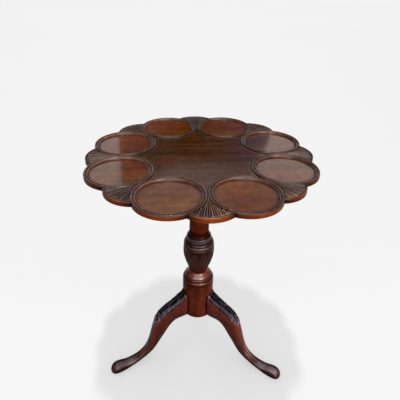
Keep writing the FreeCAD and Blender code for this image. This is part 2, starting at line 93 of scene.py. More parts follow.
# Fans: gap to the rims, least length, plain border, depth of the scallops and where the flutes start and end
FAN_GAP = 0.004
FAN_LEAST = 0.0008
FAN_BORDER = 0.003
FAN_SCALLOP = 0.005
FLUTE_START = (0.010, 0.030)
FLUTE_END = 0.003
BORDER_STEP = 0.002
BORDER_DROP = 0.45
FLUTE_ROUND = 2.2
# Fans: wear and a painted highlight on the crests, uneven from rib to rib, and a stronger painted highlight
# on the right half of the front fan
FAN_WEAR_AND_HIGHLIGHT = 0.85
RIB_EVEN, RIB_UNEVEN = 0.85, 0.15
RIB_TURN = 2.4
FRONT_FAN_HIGHLIGHT = 0.45
FRONT_FAN_RIGHT = (-0.03, 0.03)
FRONT_FAN_NEAR = (0.2, 0.25)

# Urn: carved zone and least radius; leaves, half a leaf's width in shares of its pitch, and the tips' level
URN_LOW = 0.308
URN_HIGH = 0.402
URN_MARGIN = 0.0015
URN_LEAST = 0.027
LEAVES = 12
LEAF_HALF = 0.48
LEAF_TIP = 0.88
LEAF_RELIEF = 0.0014

# Legs: directions of their feet
LEG_ANGLES = {"leg_" + side: direction(places["foot_" + side]) for side in ("back", "left", "right")}

# Knees: points inside a leg, the way from each to the surface, and half the width of the carving there
KNEE_HEART = [(0.0535, 0.150), (0.075, 0.155), (0.100, 0.148), (0.115, 0.135), (0.122, 0.120)]
KNEE_AIM = [(0.03, 1.0), (0.30, 0.95), (0.55, 0.83), (0.72, 0.69), (0.86, 0.51)]
KNEE_HALF = [0.0205, 0.0185, 0.0172, 0.0168, 0.0160]
KNEE_TIP = 0.8
KNEE_RELIEF = 0.0016
# Knees: how far outside the leg the search for its surface starts, and how far it goes
KNEE_START = 0.1
KNEE_REACH = 0.15
# Knees: wear and painted glints on the carvings, where the glints are strongest, and how far they make their
# tips pale
KNEE_EVEN = 0.9
KNEE_GLINT_PLACE = (0.86, 0.22)
KNEE_GLINT = {"leg_back": 0.4, "leg_left": 0.35, "leg_right": 0.5}

# Carving on the urn and the knees: how far it stands off the wood under it and reaches into it
CARVING_LIFT = 0.0002
CARVING_SINK = 0.0006

# Lamps: a small one above and a little behind, and a wide one in front, by its direction and rise
STRIP_POWER = 295
STRIP_HEIGHT = 10.0
STRIP_SIZE = (0.4, 0.8)
STRIP_BACK = 0.53
FRONT_POWER = 2.4
FRONT_WIDTH = math.radians(22)
FRONT_TURN = math.radians(-64)
FRONT_RISE = math.radians(24)
# Light from all round, and the brightness of the backdrop
AROUND_STRENGTH = 0.16
BACKDROP_STRENGTH = 0.9

# Floor: half its width, its shade, and how near things darken it
FLOOR_HALF = 60
FLOOR_SHADE = 0.50
CONTACT_REACH = 0.14
CONTACT_SAMPLES = 16

# Cards: distances to the sides, the front and the back, and heights
CARD_SIDE = 2.6
CARD_FRONT = -2.4
SIDE_CARD_BACK = 2.8
CARD_TOP = 7
SIDE_CARD_FOOT = 0.02
FRONT_CARD_FOOT = 0.1
FRONT_CARD_HALF = 8
BACK_CARD_PLACE = 3
BACK_OUTLINE = [
    (-0.64, 0.9), (1.1, 0.9), (1.0, 1.96), (0.85, 2.33), (1.0, 2.5), (1.4, 2.55), (1.4, 3.2), (-0.64, 3.2),
]

# View: place, direction, fall, roll and lens
EYE = (-0.0865, -1.0336, 1.1914)
EYE_TURN = math.radians(85.372)
EYE_FALL = math.radians(24.273)
EYE_ROLL = math.radians(1.256)
LENS = 36.06
SENSOR = 36
LENS_SHIFT = -0.125


# Building blocks of the materials

def grey(tone):
    """An even tone"""
    return (tone, tone, tone)


def new_material(name):
    """An empty node material and its output"""
    material = bpy.data.materials.new(name)
    material.use_nodes = True
    tree = material.node_tree
    tree.nodes.clear()
    return material, tree, tree.nodes.new("ShaderNodeOutputMaterial")


def spot(tree):
    """The place on the piece along each axis"""
    coords = tree.nodes.new("ShaderNodeTexCoord")
    split = tree.nodes.new("ShaderNodeSeparateXYZ")
    tree.links.new(coords.outputs["Object"], split.inputs[0])
    return split.outputs["X"], split.outputs["Y"], split.outputs["Z"]


def upward(tree):
    """How far a face turns up, from -1 to 1"""
    facing = tree.nodes.new("ShaderNodeNewGeometry")
    split = tree.nodes.new("ShaderNodeSeparateXYZ")
    tree.links.new(facing.outputs["Normal"], split.inputs[0])
    return split.outputs["Z"]


def noise(tree, stretch, detail, rough):
    """Noise over the piece, with its scale along each axis"""
    coords = tree.nodes.new("ShaderNodeTexCoord")
    mapping = tree.nodes.new("ShaderNodeMapping")
    mapping.inputs["Scale"].default_value = stretch
    texture = tree.nodes.new("ShaderNodeTexNoise")
    texture.inputs["Scale"].default_value = 1
    texture.inputs["Detail"].default_value = detail
    texture.inputs["Roughness"].default_value = rough
    tree.links.new(coords.outputs["Object"], mapping.inputs["Vector"])
    tree.links.new(mapping.outputs["Vector"], texture.inputs["Vector"])
    return texture.outputs["Fac"]


def ramp(tree, value, stops):
    """Colours over a value"""
    made = tree.nodes.new("ShaderNodeValToRGB")
    steps = made.color_ramp.elements
    while len(steps) < len(stops):
        steps.new(0.5)
    for step, (place, colour) in zip(steps, stops):
        step.position = place
        step.color = (*colour, 1)
    tree.links.new(value, made.inputs["Fac"])
    return made.outputs["Color"]


def spread(tree, value, low, high, start=0.3, end=0.7):
    """A value between start and end spread from low to high"""
    made = tree.nodes.new("ShaderNodeMapRange")
    made.inputs["From Min"].default_value = start
    made.inputs["From Max"].default_value = end
    made.inputs["To Min"].default_value = low
    made.inputs["To Max"].default_value = high
    tree.links.new(value, made.inputs["Value"])
    return made.outputs["Result"]


def tones(tree, value, stops):
    """Colours over a value that runs from the first stop to the last"""
    low, high = stops[0][0], stops[-1][0]
    scaled = [((place - low) / (high - low), colour) for place, colour in stops]
    return ramp(tree, spread(tree, value, 0, 1, low, high), scaled)


def mixed(tree, how, share, first, second):
    """Two colours laid over each other; the share is a number or a value in the tree"""
    made = tree.nodes.new("ShaderNodeMix")
    made.data_type = "RGBA"
    made.blend_type = how
    if isinstance(share, float):
        made.inputs[0].default_value = share
    else:
        tree.links.new(share, made.inputs[0])
    tree.links.new(first, made.inputs[6])
    tree.links.new(second, made.inputs[7])
    return made.outputs[2]


def calc(tree, operation, first, second=0.0):
    """A sum with two values, each a number or a value in the tree"""
    made = tree.nodes.new("ShaderNodeMath")
    made.operation = operation
    for socket, value in zip(made.inputs, (first, second)):
        if isinstance(value, float):
            socket.default_value = value
        else:
            tree.links.new(value, socket)
    return made.outputs[0]


def length(tree, x, y):
    """The distance over two ways at right angles"""
    squares = calc(tree, "ADD", calc(tree, "MULTIPLY", x, x), calc(tree, "MULTIPLY", y, y))
    return calc(tree, "SQRT", squares)


# Patinas and painted light: each is a function that lays its tones in a material's tree

def from_well(tree):
    """The distance from the middle of the nearest well"""
    x, y, _ = spot(tree)
    reach = length(tree, x, y)
    folded = calc(tree, "FLOORED_MODULO", calc(tree, "ARCTAN2", y, x), PITCH)
    turn = calc(tree, "SUBTRACT", folded, PITCH / 2)
    outward = calc(tree, "MULTIPLY", reach, calc(tree, "COSINE", turn))
    along = calc(tree, "SUBTRACT", outward, WELL_CIRCLE)
    across = calc(tree, "MULTIPLY", reach, calc(tree, "SINE", turn))
    return length(tree, along, across)


def well_rings(stops):
    """Tones over the distance from the middle of the nearest well"""
    return lambda tree: tones(tree, from_well(tree), stops)


def table_rings(stops):
    """Tones over the distance from the column's axis"""
    def lay(tree):
        x, y, _ = spot(tree)
        return tones(tree, length(tree, x, y), stops)
    return lay


def round_table(stops):
    """Tones from the front of the table to its back"""
    def lay(tree):
        x, y, _ = spot(tree)
        return tones(tree, calc(tree, "DIVIDE", y, length(tree, x, y)), stops)
    return lay


def across_table(stops):
    """Tones from the left side of the table to its right"""
    return lambda tree: tones(tree, spot(tree)[0], stops)


def levels(stops):
    """Tones over the height on a piece"""
    return lambda tree: tones(tree, spot(tree)[2], stops)


def facings(stops):
    """Tones over how far a face turns up"""
    return lambda tree: tones(tree, upward(tree), stops)


def carving(stops):
    """Tones over the relief of a carved piece, from its hollows to its crests, which carry wear and a
    painted highlight
    """
    def lay(tree):
        height = tree.nodes.new("ShaderNodeAttribute")
        height.attribute_name = "relief"
        return tones(tree, height.outputs["Fac"], stops)
    return lay


def leg_patch(name, across, along, stops):
    """Tones on a patch of a leg, placed by the distances from its crest to the front and from the column"""
    turn = math.radians(LEG_ANGLES[name])
    front = -math.copysign(1.0, math.cos(turn))

    def lay(tree):
        x, y, _ = spot(tree)
        to_front = calc(tree, "ADD", calc(tree, "MULTIPLY", x, -math.sin(turn) * front),
                        calc(tree, "MULTIPLY", y, math.cos(turn) * front))
        out = tones(tree, length(tree, x, y), along)
        return tones(tree, calc(tree, "MULTIPLY", tones(tree, to_front, across), out), stops)
    return lay


def hues(tree):
    """Patches of a yellower and of a redder brown"""
    return ramp(tree, noise(tree, HUE_SCALE, 3, 0.5), HUE_TONES)


def streaks(tree):
    """Upright streaks of a straight-grained turning"""
    return ramp(tree, noise(tree, STREAK_SCALE, 4, 0.6), STREAK_TONES)


def floor_tints(tree):
    """Tinted patches on the floors of the wells: stains, and bluish ones that are a painted reflection"""
    x, y, _ = spot(tree)
    tone = None
    for across, back, wide, colour in FLOOR_TINTS:
        away = length(tree, calc(tree, "SUBTRACT", x, across), calc(tree, "SUBTRACT", y, back))
        mark = tones(tree, away, [(0.0, colour), (wide * TINT_CORE, colour), (wide, grey(1.0))])
        tone = mixed(tree, "MULTIPLY", 1.0, tone, mark) if tone else mark
    return tone


# Materials

def along_grain(across, along, axis):
    """Scales of a noise that is drawn out along one axis"""
    scales = [across, across, across]
    scales[axis] = along
    return scales


def dents(tree, pores):
    """The fine hollows of the pores"""
    bump = tree.nodes.new("ShaderNodeBump")
    bump.inputs["Strength"].default_value = PORE_STRENGTH
    bump.inputs["Distance"].default_value = PORE_DEPTH
    tree.links.new(pores, bump.inputs["Height"])
    return bump.outputs["Normal"]


def wood(name, dark, light, axis, gloss, shine, *patinas, worn=None):
    """Polished wood: figure and pores along an axis, clouds, mottle, patinas of wear and of painted light
    and shade, and an uneven polish that shines between two strengths as faces turn up, less where it is worn"""
    material, tree, output = new_material(name)
    figure = noise(tree, along_grain(*FIGURE_SCALES, axis), 7, 0.65)
    clouds = noise(tree, CLOUD_SCALE, 5, 0.6)
    mottle = noise(tree, MOTTLE_SCALE, 4, 0.6)
    pores = noise(tree, along_grain(*PORE_SCALES, axis), 2, 0.6)
    colour = ramp(tree, figure, [(0.3, dark), (0.7, light)])
    grain = [(clouds, CLOUD_TONES), (mottle, MOTTLE_TONES), (pores, PORE_TONES)]
    layers = [ramp(tree, value, stops) for value, stops in grain]
    layers += [patina(tree) for patina in patinas]
    for layer in layers:
        colour = mixed(tree, "MULTIPLY", 1.0, colour, layer)
    polish = spread(tree, upward(tree), *shine, *POLISH_RISE)
    if worn:
        polish = calc(tree, "MULTIPLY", polish, worn(tree))
    polish = calc(tree, "MULTIPLY", polish, spread(tree, mottle, *POLISH_SPREAD))
    low_gloss, high_gloss = GLOSS_SPREAD
    roughness = spread(tree, clouds, gloss * low_gloss, gloss * high_gloss)
    shader = tree.nodes.new("ShaderNodeBsdfPrincipled")
    tree.links.new(colour, shader.inputs["Base Color"])
    tree.links.new(roughness, shader.inputs["Roughness"])
    tree.links.new(polish, shader.inputs["Specular IOR Level"])
    tree.links.new(dents(tree, pores), shader.inputs["Normal"])
    tree.links.new(shader.outputs["BSDF"], output.inputs["Surface"])
    return material


def leg_wood(name, dark, light):
    """The finish of one leg, with painted sheen and shade on its foot and a painted highlight on its ankle
    """
    return wood(name + "_wood", dark, light, ALONG_Z, 0.32, (0.04, 0.6),
                levels(LEG_SHADE_AND_SHEEN), table_rings(LEG_RINGS), facings(LEG_UNDERSIDE_SHADE),
                leg_patch(name, FOOT_SHEEN_ACROSS, FOOT_SHEEN_ALONG, FOOT_SHEEN_TONES),
                leg_patch(name, FOOT_EDGE_SHADE_ACROSS, FOOT_EDGE_SHADE_ALONG, FOOT_EDGE_SHADE_TONES),
                leg_patch(name, ANKLE_HIGHLIGHT_ACROSS, ANKLE_HIGHLIGHT_ALONG, ANKLE_HIGHLIGHT_TONES),
                worn=table_rings(LEG_POLISH))


def metal(name, dull, bright, gloss):
    """Worn metal with patchy tarnish"""
    material, tree, output = new_material(name)
    patches = noise(tree, TARNISH_SCALE, 5, 0.6)
    dull_gloss, bright_gloss = TARNISH_GLOSS
    roughness = spread(tree, patches, gloss * dull_gloss, gloss * bright_gloss)
    shader = tree.nodes.new("ShaderNodeBsdfPrincipled")
    tree.links.new(ramp(tree, patches, [(0.35, dull), (0.65, bright)]), shader.inputs["Base Color"])
    tree.links.new(roughness, shader.inputs["Roughness"])
    shader.inputs["Metallic"].default_value = 1
    tree.links.new(shader.outputs["BSDF"], output.inputs["Surface"])
    return material


# Grain of all woods: scales across and along it, and tones
ALONG_X, ALONG_Y, ALONG_Z = 0, 1, 2
FIGURE_SCALES = (34.0, 3.0)
PORE_SCALES = (520.0, 14.0)
CLOUD_SCALE = (11, 11, 11)
MOTTLE_SCALE = (55, 55, 55)
CLOUD_TONES = [(0.3, (0.72, 0.66, 0.62)), (0.7, (1.14, 1.12, 1.06))]
MOTTLE_TONES = [(0.32, (0.74, 0.72, 0.70)), (0.68, (1.16, 1.16, 1.14))]
PORE_TONES = [(0.30, (0.62, 0.58, 0.55)), (0.46, grey(1))]
PORE_STRENGTH = 0.05
PORE_DEPTH = 0.0004
# Polish: strengths on faces that turn down and up, the turn between which it rises, and its unevenness
EVEN, UPPER = (0.5, 0.5), (0.04, 0.4)
POLISH_RISE = (0.1, 0.6)
POLISH_SPREAD = (0.75, 1.25)
GLOSS_SPREAD = (0.8, 1.25)
# Metals: size of the patches of tarnish, and the roughness of dull and bright ones
TARNISH_SCALE = (90, 90, 90)
TARNISH_GLOSS = (1.3, 0.8)

# Floors of the wells: patches of another hue, painted shade at the foot of the cove, and tinted patches
# (place, width, tone), which are stains except the bluish ones, a painted reflection
HUE_SCALE = (9, 9, 9)
HUE_TONES = [(0.36, (1.0, 1.2, 0.6)), (0.5, grey(1)), (0.64, (1.05, 0.85, 1.0))]
FLOOR_COVE_SHADE = [(0.069, grey(1.0)), (0.0735, (0.7, 0.6, 0.55)), (0.0745, (0.5, 0.4, 0.35))]
TINT_CORE = 0.4
FLOOR_TINTS = [
    (0.185, 0.100, 0.070, (0.60, 0.95, 1.25)),
    (-0.056, -0.243, 0.068, (1.12, 1.24, 0.36)),
    (-0.065, 0.210, 0.075, (1.12, 1.0, 0.5)),
    (0.085, -0.200, 0.075, (1.2, 1.16, 0.85)),
    (0.102, -0.240, 0.060, (1.1, 1.12, 0.6)),
    (-0.156, -0.145, 0.060, (1.0, 1.12, 0.65)),
    (0.066, 0.235, 0.080, (0.85, 0.85, 1.0)),
]
# Rim: painted shade in the cove, a pale bluish painted highlight on the lip, painted shade in the groove, a
# painted highlight on the bead and a darker outer slope
RIM_SHADE_AND_HIGHLIGHTS = [
    (0.0740, (0.7, 0.6, 0.5)), (0.0755, (0.5, 0.5, 0.5)),
    (0.0785, (0.9, 1.0, 1.1)), (0.0795, (1.0, 1.2, 1.4)),
    (0.0800, (2.8, 4.0, 5.4)), (0.0812, (2.8, 4.0, 5.4)),
    (0.0820, grey(0.7)), (0.0826, grey(0.45)), (0.0842, grey(0.45)),
    (0.0855, (0.8, 0.9, 1.1)), (0.0870, (1.9, 2.7, 3.6)), (0.0884, (1.9, 2.7, 3.6)),
    (0.0896, (0.6, 0.7, 0.8)), (0.0912, (0.6, 0.7, 0.8)),
]
# Rims get a painted sheen at the sides of the table and painted shade at its back
RIM_SIDE_SHEEN = [(-0.24, grey(1.5)), (-0.09, grey(1.15)), (0.06, grey(0.95)), (0.24, grey(1.25))]
RIM_FRONT_LIGHT = [(-1.0, grey(1.1)), (0.0, grey(1.05)), (1.0, grey(0.85))]
# Field: two pale bluish painted highlight lines round each rim, standing for turned lines, with painted
# shade beside them
FIELD_LIGHT_LINES = [
    (0.0912, grey(0.45)), (0.0932, grey(0.5)), (0.0950, (1.3, 2.0, 3.6)), (0.0966, (1.2, 1.8, 3.2)),
    (0.0980, grey(0.45)), (0.0992, (1.5, 2.2, 3.6)), (0.1004, (1.4, 2.0, 3.2)), (0.1014, grey(0.55)),
    (0.1030, grey(1.0)),
]
# Edge: painted shade between the lobes and along its foot, a painted highlight on its arris, and painted
# shade away from the front
EDGE_NOTCH_SHADE = [
    (0.3075, grey(0.08)), (0.312, grey(0.35)), (0.318, grey(0.8)), (0.324, grey(1.1)), (0.330, grey(1.1)),
]
EDGE_SHADE_AND_HIGHLIGHT = [
    (0.6930, grey(0.15)), (0.6945, grey(0.4)), (0.6965, grey(0.9)), (0.7000, grey(1.1)), (0.7045, grey(0.9)),
    (0.7062, (1.35, 1.9, 2.6)), (0.7085, (1.35, 1.9, 2.6)),
]
EDGE_FRONT_LIGHT = [
    (-1.0, grey(1.4)), (-0.9, grey(1.3)), (-0.7, grey(0.9)), (-0.45, grey(0.5)), (0.0, grey(0.25)),
    (1.0, grey(0.25)),
]
# Column, by height: a cooler tint on the drum, painted shade in its grooves and hollows, bluish painted
# highlight lines on the shoulder rings, the bulb and the collar's beads, and painted shade at the foot of
# the shaft above the urn
COLUMN_SHADE_AND_HIGHLIGHTS = [
    (0.1330, (0.8, 0.95, 1.3)), (0.1600, (1.05, 1.3, 1.9)), (0.2000, (1.05, 1.3, 1.9)),
    (0.2560, (0.85, 1.1, 1.6)), (0.2620, grey(0.4)), (0.2660, (0.8, 1.1, 1.3)),
    (0.2705, (1.0, 1.6, 2.2)), (0.2750, (0.5, 0.5, 0.5)), (0.2795, (1.0, 1.6, 2.2)),
    (0.2835, (0.5, 0.5, 0.5)),
    (0.2870, (1.45, 2.5, 5.0)), (0.2985, (1.45, 2.4, 4.8)), (0.3030, grey(0.4)),
    (0.4020, grey(0.3)), (0.4045, (0.4, 1.0, 2.4)), (0.4062, (1.0, 4.3, 22.0)), (0.4092, (1.0, 4.3, 22.0)),
    (0.4105, (0.4, 1.0, 2.0)),
    (0.4112, (0.2, 0.6, 1.5)), (0.4150, (0.45, 1.2, 2.6)), (0.4195, (0.3, 0.7, 1.6)),
    (0.4215, (0.3, 1.3, 6.0)),
    (0.4240, (0.7, 2.9, 12.0)), (0.4260, (0.7, 2.9, 12.0)), (0.4282, (0.3, 1.2, 5.0)),
    (0.4318, (0.65, 2.6, 11.0)), (0.4338, (0.65, 2.6, 11.0)), (0.4358, (0.2, 0.5, 1.2)),
    (0.4440, (0.2, 0.3, 0.4)), (0.4560, (0.3, 0.4, 0.5)), (0.4610, grey(0.8)),
]
# Polish on the turnings, dull in the hollows of the collar
COLUMN_POLISH = [
    (0.2600, grey(0.42)), (0.2830, grey(0.42)), (0.2890, grey(0.85)), (0.2975, grey(0.85)),
    (0.3000, grey(0.25)), (0.3030, grey(0.2)), (0.4020, grey(1.0)),
    (0.4077, grey(2.4)), (0.4105, grey(0.3)), (0.4190, grey(0.3)),
    (0.4250, grey(2.2)), (0.4285, grey(0.4)), (0.4328, grey(2.0)), (0.4355, grey(0.05)),
    (0.4560, grey(0.05)), (0.4610, grey(0.5)),
]
STREAK_SCALE = (150, 150, 8)
STREAK_TONES = [(0.35, (0.78, 0.72, 0.68)), (0.65, (1.18, 1.24, 1.24))]
# Legs: darker and bluer towards the feet, painted shade near the floor and painted sheen on the feet, darker
# where they meet the drum, and painted shade on their undersides; the right leg's wood is paler, a painted
# light on its side
LEG_COLOURS = {
    "leg_back": ((0.085, 0.012, 0.006), (0.17, 0.030, 0.012)),
    "leg_left": ((0.085, 0.012, 0.006), (0.17, 0.030, 0.012)),
    # The right leg's wood is paler than the others, a painted light on the side it shows
    "leg_right": ((0.118, 0.018, 0.009), (0.236, 0.043, 0.018)),
}
LEG_SHADE_AND_SHEEN = [
    (0.0, (0.25, 0.4, 0.6)), (0.009, (0.35, 0.6, 1.0)), (0.0165, (0.5, 0.9, 1.4)), (0.055, (0.6, 1.0, 1.6)),
    (0.09, (0.7, 0.8, 1.1)), (0.14, (0.95, 1.0, 1.4)),
]
LEG_RINGS = [(0.0490, grey(0.2)), (0.0540, grey(0.2)), (0.0565, grey(1.0))]
LEG_UNDERSIDE_SHADE = [
    (-0.45, grey(0.12)), (-0.22, grey(0.4)), (-0.05, grey(0.8)), (0.08, grey(1.1)), (1.0, grey(1.1)),
]
# Painted sheen on the front half of a foot, painted shade along its edges, and a painted highlight on the
# crest of an ankle
FOOT_SHEEN_ACROSS = [
    (-0.016, grey(0.0)), (-0.007, grey(0.1)), (0.000, grey(0.9)), (0.0125, grey(1.0)), (0.0165, grey(0.2)),
]
FOOT_SHEEN_ALONG = [(0.220, grey(0.0)), (0.245, grey(1.0)), (0.297, grey(1.0)), (0.308, grey(0.2))]
FOOT_SHEEN_TONES = [(0.0, grey(1.0)), (0.2, grey(1.0)), (1.0, (3.8, 9.6, 17.0))]
FOOT_EDGE_SHADE_ACROSS = [
    (-0.015, grey(1.0)), (-0.006, grey(0.5)), (0.0, grey(0.0)), (0.0145, grey(0.0)), (0.017, grey(0.8)),
]
FOOT_EDGE_SHADE_ALONG = [(0.215, grey(0.0)), (0.245, grey(1.0))]
FOOT_EDGE_SHADE_TONES = [(0.0, grey(1.0)), (1.0, grey(0.5))]
ANKLE_HIGHLIGHT_ACROSS = [(-0.003, grey(0.0)), (-0.0005, grey(1.0)), (0.0025, grey(1.0)), (0.005, grey(0.0))]
ANKLE_HIGHLIGHT_ALONG = [
    (0.180, grey(0.0)), (0.188, grey(1.0)), (0.206, grey(1.0)), (0.226, grey(0.7)), (0.234, grey(0.0)),
]
ANKLE_HIGHLIGHT_TONES = [(0.0, grey(1.0)), (1.0, (3.2, 6.0, 6.5))]
# Polish on the legs, dull at the drum and on the feet
LEG_POLISH = [
    (0.0490, grey(0.2)), (0.0540, grey(0.2)), (0.0565, grey(1.0)), (0.150, grey(1.0)), (0.185, grey(0.45)),
    (0.220, grey(0.15)),
]
# Carved pieces: dark in the hollows, and pale on the crests, partly wear and partly a painted highlight; the
# knees' palest tones are painted glints, and the warmest fan tone a painted highlight on the front fan
FAN_TONES = [
    (0.0, (0.02, 0.03, 0.05)), (0.35, (0.25, 0.28, 0.36)), (0.7, (2.2, 2.3, 2.6)), (1.0, (8.0, 7.4, 7.2)),
    (1.3, (15.0, 10.5, 7.0)),
]
LEAF_TONES = [(0.0, (0.14, 0.13, 0.15)), (0.6, grey(1.0)), (1.0, (1.8, 1.6, 1.5))]
KNEE_TONES = [
    (0.0, (0.1, 0.1, 0.14)), (0.5, (0.5, 0.55, 0.75)), (0.72, (1.5, 1.7, 2.3)), (0.85, (4.0, 4.6, 5.8)),
    (1.0, (10.0, 10.5, 11.5)), (1.3, (15.5, 14.5, 15.0)),
]

# Most of these finishes lay painted shade, painted highlights and painted sheen through their patinas
floor_wood = wood("well_floor_wood", (0.121, 0.029, 0.0068), (0.250, 0.0735, 0.0155), ALONG_X, 0.08,
                  (0.66, 0.66), well_rings(FLOOR_COVE_SHADE), hues, floor_tints)
field_wood = wood("field_wood", (0.043, 0.0124, 0.0023), (0.130, 0.043, 0.0092), ALONG_X, 0.09,
                  (0.56, 0.56), well_rings(FIELD_LIGHT_LINES))
rim_wood = wood("rim_wood", (0.053, 0.020, 0.011), (0.102, 0.040, 0.023), ALONG_X, 0.2, (0.1, 0.22),
                well_rings(RIM_SHADE_AND_HIGHLIGHTS), across_table(RIM_SIDE_SHEEN), round_table(RIM_FRONT_LIGHT))
edge_wood = wood("edge_wood", (0.115, 0.0175, 0.003), (0.245, 0.046, 0.008), ALONG_X, 0.3, UPPER,
                 table_rings(EDGE_NOTCH_SHADE), levels(EDGE_SHADE_AND_HIGHLIGHT), round_table(EDGE_FRONT_LIGHT))
under_wood = wood("underside_wood", (0.07, 0.026, 0.012), (0.13, 0.05, 0.022), ALONG_X, 0.5, EVEN)
fan_wood = wood("fan_wood", (0.055, 0.034, 0.026), (0.095, 0.060, 0.046), ALONG_X, 0.3, (0.06, 0.18),
                carving(FAN_TONES))
column_wood = wood("column_wood", (0.092, 0.012, 0.004), (0.185, 0.030, 0.009), ALONG_Z, 0.27, (0.03, 0.7),
                   levels(COLUMN_SHADE_AND_HIGHLIGHTS), streaks, worn=levels(COLUMN_POLISH))
leaf_wood = wood("leaf_wood", (0.05, 0.013, 0.008), (0.10, 0.027, 0.015), ALONG_Z, 0.22, UPPER,
                 carving(LEAF_TONES))
knee_wood = wood("knee_wood", (0.022, 0.014, 0.017), (0.044, 0.028, 0.034), ALONG_Z, 0.22, (0.03, 0.14),
                 carving(KNEE_TONES))
frame_wood = wood("bearer_wood", (0.10, 0.045, 0.02), (0.20, 0.09, 0.042), ALONG_Y, 0.55, EVEN)
brass = metal("catch_brass_metal", (0.28, 0.17, 0.05), (0.62, 0.44, 0.17), 0.32)
steel = metal("spring_steel_metal", (0.28, 0.28, 0.28), (0.5, 0.5, 0.5), 0.3)
screw_steel = metal("screw_steel_metal", (0.12, 0.11, 0.10), (0.34, 0.32, 0.30), 0.4)
iron = metal("brace_iron_metal", (0.03, 0.028, 0.026), (0.11, 0.10, 0.095), 0.55)

# Pieces with one finish each
PLAIN = {
    "column": column_wood,
    "bearer_left": frame_wood, "bearer_right": frame_wood, "tilt_block": frame_wood,
    "pintle_left": frame_wood, "pintle_right": frame_wood, "tenon_wedge": frame_wood,
    "catch_plate": brass, "catch_case": brass, "catch_bolt": brass, "catch_knob": brass,
    "strike_plate": brass, "catch_spring": steel, "bearer_screws": screw_steel,
    "catch_screws": screw_steel, "strike_screws": screw_steel, "leg_brace_screws": screw_steel,
    "leg_brace": iron,
}
PLAIN.update({name: leg_wood(name, *colours) for name, colours in LEG_COLOURS.items()})
for name, material in PLAIN.items():
    nodes[name].data.materials.clear()
    nodes[name].data.materials.append(material)


# Shapes

def soft_step(value, low, high):
    """0 below low, 1 above high and a smooth rise between them"""
    share = np.clip((value - low) / (high - low), 0, 1)
    return share * share * (3 - 2 * share)


def ridge(value, middle, width):
    """A round ridge of height 1 along a value"""
    return np.exp(-((value - middle) / width) ** 2)


def grid_faces(rows, columns, around):
    """Faces of a closed shell of two grids, with the rim between them; the grids may run all round"""
    count = rows * columns
    spans = columns if around else columns - 1
    faces = []
    rim = []
    for row in range(rows - 1):
        for column in range(spans):
            a, b = row * columns + column, row * columns + (column + 1) % columns
            c, d = b + columns, a + columns
            faces.append((a, b, c, d))
            faces.append((a + count, d + count, c + count, b + count))
    for column in range(spans):
        after = (column + 1) % columns
        rim.append((after, column))
        rim.append(((rows - 1) * columns + column, (rows - 1) * columns + after))
    for row in range(0 if around else rows - 1):
        rim.append((row * columns, (row + 1) * columns))
        rim.append(((row + 2) * columns - 1, (row + 1) * columns - 1))
    return faces + [(a, b, b + count, a + count) for a, b in rim]


def grid_piece(name, outer, inner, relief, material, body, around=False):
    """A closed carved piece between an outer and an inner grid of points, with its relief, which sets its
    tones
    """
    rows, columns = outer.shape[:2]
    faces = grid_faces(rows, columns, around)
    points = np.concatenate([outer.reshape(-1, 3), inner.reshape(-1, 3)])
    mesh = bpy.data.meshes.new(name)
    mesh.from_pydata([tuple(p) for p in points], [], faces)
    mesh.materials.append(material)
    heights = np.concatenate([relief.ravel(), np.zeros(rows * columns)]).astype(np.float32)
    mesh.attributes.new("relief", "FLOAT", "POINT").data.foreach_set("value", heights)
    mesh.polygons.foreach_set("use_smooth", [True] * len(faces))
    mesh.update()
    piece = bpy.data.objects.new(name, mesh)
    bpy.context.scene.collection.objects.link(piece)
    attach(piece, body)


def board_zone(face):
    """The finish that a face of the board gets"""
    x, y, z = face.center
    up = face.normal.z
    reach = math.hypot(x, y)
    outward = (face.normal.x * x + face.normal.y * y) / reach if reach else 0
    turn = math.atan2(y, x) % PITCH - PITCH / 2
    away = math.hypot(reach * math.cos(turn) - WELL_CIRCLE, reach * math.sin(turn))
    if z < UNDERSIDE + UNDERSIDE_NEAR or up < UNDER_UP:
        return under_wood
    if up > LEVEL_UP and z < WELL_FLOOR + LEVEL_NEAR:
        return floor_wood
    if up > LEVEL_UP and z < FIELD + LEVEL_NEAR:
        return field_wood
    if abs(up) < STEEP_UP and outward > EDGE_OUT and z < EDGE_TOP and reach > WELL_CIRCLE:
        return edge_wood
    if away > LOBE_RADIUS + RIM_NEAR and z > EDGE_TOP:
        return edge_wood
    return rim_wood


def top_board():
    """The dished board, with a finish for each zone of it"""
    board = nodes["top_panel"].copy()
    board.data = nodes["top_panel"].data.copy()
    board.name = "top_board"
    bpy.context.scene.collection.objects.link(board)
    board.data.materials.clear()
    finishes = [rim_wood, floor_wood, field_wood, edge_wood, under_wood]
    for material in finishes:
        board.data.materials.append(material)
    for face in board.data.polygons:
        face.material_index = finishes.index(board_zone(face))
    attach(board, "top")
    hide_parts("top_panel")


def fan_reach(angle, share):
    """Distances from a fan's inner point, between the rims at its sides and its outer edge, and that edge"""
    middle = FAN_CIRCLE - FAN_POINT
    outside = middle * np.cos(angle) + np.sqrt(FAN_FIELD ** 2 - (middle * np.sin(angle)) ** 2)
    inside = np.minimum(2 * LOBE_RADIUS * np.sin(np.abs(angle)) + FAN_GAP, outside - FAN_LEAST)
    return inside + (outside - inside) * share, outside


def fan_relief(reach, outside, turn):
    """Flutes that spread from a fan's inner point and end in scallops, inside a low border"""
    across = np.abs(np.sin(turn * math.pi))
    ends = outside - FAN_BORDER - FAN_SCALLOP * (1 - across)
    hollow = soft_step(reach, *FLUTE_START) * (1 - soft_step(reach, ends - FLUTE_END, ends))
    return 1 - hollow * across ** FLUTE_ROUND - BORDER_DROP * soft_step(reach, ends, ends + BORDER_STEP)


